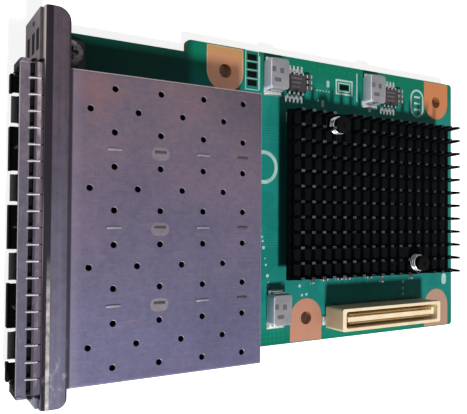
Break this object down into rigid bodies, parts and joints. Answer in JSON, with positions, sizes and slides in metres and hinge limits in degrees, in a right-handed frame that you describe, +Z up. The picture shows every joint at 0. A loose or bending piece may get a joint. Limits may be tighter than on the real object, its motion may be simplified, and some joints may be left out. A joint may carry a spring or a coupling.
{
  "type": "mezzanine network card",
  "caption": "Flat green circuit board with a ganged cage for pluggable modules behind a folded face plate, a black pin-fin heat sink, square inductors and a long cream board-to-board connector.",
  "frame": {"origin": "middle of the card's bounding box in X and Y, at its lowest point in Z, which is the table that the face plate's lower edge and the push pins' barbs stand on", "axes": "+X from the module ports to the rear edge, +Y along the face plate towards its slotted end, +Z up from the board's component side"},
  "size_m": [0.1182, 0.071, 0.0142],
  "materials": {
    "solder_mask_green": "satin green solder mask over glass-epoxy board",
    "plated_cage_steel": "tin-plated sheet, grey with a violet tint, lightly scuffed",
    "plated_plate_steel": "zinc-plated sheet, brownish grey, satin",
    "plated_spring_bronze": "tin-plated spring bronze, satin",
    "spring_steel": "bright spring wire",
    "screw_steel": "plated steel",
    "black_anodising": "matt black anodised aluminium",
    "black_plastic": "matt black nylon",
    "package_epoxy": "moulded black epoxy",
    "thermal_pad_silicone": "soft grey silicone",
    "ferrite_grey": "pressed grey ferrite, fine grained",
    "capacitor_ceramic": "reddish brown ceramic with tinned ends",
    "resistor_ceramic": "pale ceramic with tinned ends",
    "cream_plastic": "cream high-temperature nylon",
    "contact_gold": "gold flash over bronze"
  },
  "bodies": {
    "root": {"circuit_board": "solder_mask_green", "cage_cover": "plated_cage_steel", "cage_base": "plated_cage_steel", "cage_divider_1": "plated_cage_steel", "cage_divider_2": "plated_cage_steel", "cage_divider_3": "plated_cage_steel", "emi_gasket": "plated_spring_bronze", "lower_gasket_1": "plated_spring_bronze", "lower_gasket_2": "plated_spring_bronze", "lower_gasket_3": "plated_spring_bronze", "lower_gasket_4": "plated_spring_bronze", "lower_gasket_5": "plated_spring_bronze", "port_connector_1": "black_plastic", "port_connector_2": "black_plastic", "port_connector_3": "black_plastic", "port_connector_4": "black_plastic", "push_pin_1": "black_plastic", "push_pin_2": "black_plastic", "face_plate": "plated_plate_steel", "bracket_screw": "screw_steel", "heat_sink": "black_anodising", "controller_chip": "package_epoxy", "power_ic_1": "package_epoxy", "power_ic_2": "package_epoxy", "thermal_pad": "thermal_pad_silicone", "push_pin_spring_1": "spring_steel", "push_pin_spring_2": "spring_steel", "inductor_1": "ferrite_grey", "inductor_2": "ferrite_grey", "inductor_3": "ferrite_grey", "capacitor_1": "capacitor_ceramic", "capacitor_2": "capacitor_ceramic", "capacitor_3": "capacitor_ceramic", "capacitor_4": "capacitor_ceramic", "capacitor_5": "capacitor_ceramic", "capacitor_6": "capacitor_ceramic", "chip_resistor_1": "resistor_ceramic", "chip_resistor_2": "resistor_ceramic", "chip_resistor_3": "resistor_ceramic", "chip_resistor_4": "resistor_ceramic", "chip_resistor_5": "resistor_ceramic", "chip_resistor_6": "resistor_ceramic", "chip_resistor_7": "resistor_ceramic", "mezzanine_housing": "cream_plastic", "mezzanine_contacts_1": "contact_gold", "mezzanine_contacts_2": "contact_gold"}
  },
  "joints": []
}
